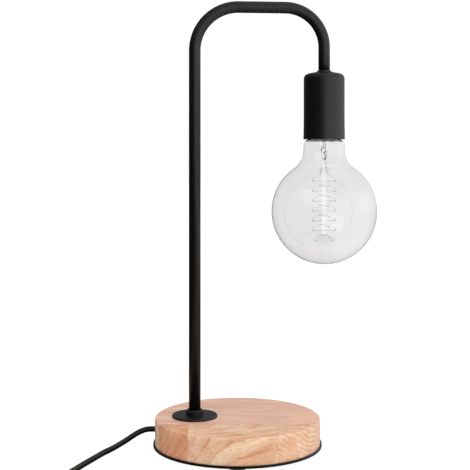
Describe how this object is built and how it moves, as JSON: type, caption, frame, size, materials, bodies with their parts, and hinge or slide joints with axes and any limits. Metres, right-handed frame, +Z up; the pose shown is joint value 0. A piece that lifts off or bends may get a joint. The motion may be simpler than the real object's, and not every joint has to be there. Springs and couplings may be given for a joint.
{
  "type": "desk lamp",
  "caption": "Desk lamp with a round wooden foot, a bent tube arm, a bare globe bulb in a slim cup and a mains lead with an in-line rocker switch.",
  "frame": {"origin": "middle of the foot on the surface that the lamp stands on", "axes": "+Z up, +X the way that the arm reaches over the foot, +Y away from the side that the picture shows"},
  "size_m": [0.2815, 0.3023, 0.3984],
  "materials": {
    "black_steel": "fine matt powder coat",
    "wood": "clear matt varnish on edge-glued blocks",
    "rubber": "matt",
    "zinc_steel": "zinc plated",
    "spring_steel": "bright wire",
    "brass": "bright",
    "plated_brass": "nickel plated",
    "plated_cap": "bright",
    "solder": "dull solder",
    "cap_glass": "black vitrite glass",
    "clear_glass": "clear and polished",
    "lead_wire": "drawn nickel wire",
    "filament_wire": "carbon dark wire",
    "black_plastic": "fine moulded grain",
    "soft_plastic": "soft black sheath",
    "tie_strap": "woven hook-and-loop strap",
    "core_brown": "brown insulation",
    "core_blue": "blue insulation"
  },
  "bodies": {
    "lamp": {"rubber_feet": "rubber", "base_plate": "black_steel", "plate_screws": "zinc_steel", "wood_base": "wood", "rosette": "black_steel", "tube_collar": "black_steel", "stem_washer": "zinc_steel", "stem_nut": "zinc_steel", "arm_tube": "black_steel", "holder_cup": "black_steel", "holder_body": "black_plastic", "screw_shell": "brass", "holder_insert": "black_plastic", "holder_top": "black_plastic", "contact_spring": "spring_steel", "holder_terminals": "brass", "terminal_screws": "zinc_steel", "cord_bush": "soft_plastic", "cord_inlet": "soft_plastic", "clamp_saddle": "black_plastic", "clamp_strap": "black_plastic", "clamp_screws": "zinc_steel", "core_live": "core_brown", "core_neutral": "core_blue", "cord_run": "soft_plastic", "switch_lower": "black_plastic", "switch_upper": "black_plastic", "switch_contacts": "brass", "contact_screws": "zinc_steel", "switch_screws": "zinc_steel", "cord_lead": "soft_plastic", "cord_coil": "soft_plastic", "coil_tie": "tie_strap", "cord_tail": "soft_plastic", "plug_body": "black_plastic", "plug_pins": "plated_brass", "pin_sleeves": "black_plastic"},
    "plunger": {"centre_plunger": "brass"},
    "bulb": {"bulb_globe": "clear_glass", "filament_supports": "lead_wire", "lead_wires": "lead_wire", "bulb_stem": "clear_glass", "filament": "filament_wire", "bulb_cap": "plated_cap", "cap_insulator": "cap_glass", "cap_contact": "solder"},
    "rocker": {"switch_rocker": "black_plastic"},
    "lever": {"contact_lever": "brass"}
  },
  "joints": [
    {"name": "contact_travel", "type": "slide", "parent": "lamp", "child": "plunger", "axis": [0, 0, -1], "range_m": [0, 0.00272], "deforming": ["contact_spring"]},
    {"name": "bulb_turn", "type": "hinge", "parent": "plunger", "child": "bulb", "pos_m": [0.07838, 0.01184, 0.29], "axis": [0, 0, -1], "range_deg": [0, 270]},
    {"name": "rocker_tip", "type": "hinge", "parent": "lamp", "child": "rocker", "pos_m": [-0.14144, -0.16198, 0.0132], "axis": [0.9993, -0.0368, 0], "range_deg": [0, 16]},
    {"name": "lever_tip", "type": "hinge", "parent": "lamp", "child": "lever", "pos_m": [-0.14144, -0.16198, 0.0056], "axis": [0.9993, -0.0368, 0], "range_deg": [-14, 0]}
  ],
  "couplings": [
    {"joint": "contact_travel", "follows": "bulb_turn", "m_per_rad": 0.00057757},
    {"joint": "lever_tip", "follows": "rocker_tip", "ratio": -0.875}
  ]
}
